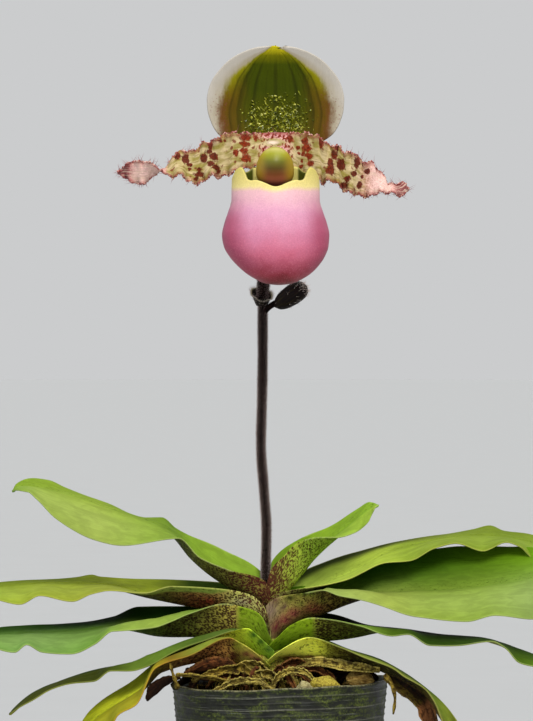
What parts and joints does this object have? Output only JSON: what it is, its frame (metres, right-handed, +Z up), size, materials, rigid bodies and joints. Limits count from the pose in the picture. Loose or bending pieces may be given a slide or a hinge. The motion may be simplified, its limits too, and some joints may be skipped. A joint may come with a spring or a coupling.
{
  "type": "orchid plant in pot",
  "caption": "Slipper orchid (Paphiopedilum) in flower with a pink pouch, spotted petals, a white-edged green hood and strap leaves, in a ribbed dark nursery pot.",
  "frame": {"origin": "centre of the flat underside of the pot", "axes": "+Z up along the pot's axis, -Y the way the flower faces, the two ranks of leaves spread to -X and +X"},
  "size_m": [0.2305, 0.0796, 0.2939],
  "materials": {
    "pot_plastic": "thin dark grey nursery plastic, scuffed, with green algae",
    "potting_bark": "damp bark chips and old moss",
    "sheath_green": "living leaf bases, green with dense maroon spots",
    "leaf_green": "living leaf, satin, faintly mottled",
    "leaf_aged": "ageing leaf, yellow-green with orange margins",
    "dry_leaf": "dead leaf, khaki and papery",
    "dry_dark": "dead leaf, dark brown",
    "scape_brown": "dark maroon flower stalk with short pale hairs",
    "bract_brown": "dark hairy bract",
    "sepal_green": "green sepal with a white border and dark veins",
    "petal_cream": "cream petal with maroon blotches and hairs",
    "pouch_pink": "pink pouch, finely speckled, with a pale yellow rim",
    "column_green": "glossy green column and shield"
  },
  "bodies": {
    "root": {"pot": "pot_plastic", "crown": "sheath_green", "potting_mix": "potting_bark", "dry_right": "dry_leaf", "dry_hanging": "dry_leaf", "dry_left": "dry_leaf", "dry_strap": "dry_leaf", "dry_dark": "dry_dark", "straw_left": "dry_leaf", "straw_right": "dry_leaf", "scape": "scape_brown", "ovary": "scape_brown", "bract_cup": "bract_brown", "bud": "bract_brown", "dorsal_sepal": "sepal_green", "synsepal": "sepal_green", "petal_left": "petal_cream", "petal_right": "petal_cream", "lip_pouch": "pouch_pink", "column": "column_green", "staminode": "column_green", "leaf_l1": "leaf_green", "leaf_l2": "leaf_green", "leaf_l3": "leaf_green", "leaf_l4": "leaf_green", "leaf_l5": "leaf_aged", "leaf_r1": "leaf_green", "leaf_r2": "leaf_green", "leaf_r3": "leaf_green", "leaf_r4": "leaf_green", "leaf_r5": "leaf_aged"}
  },
  "joints": []
}
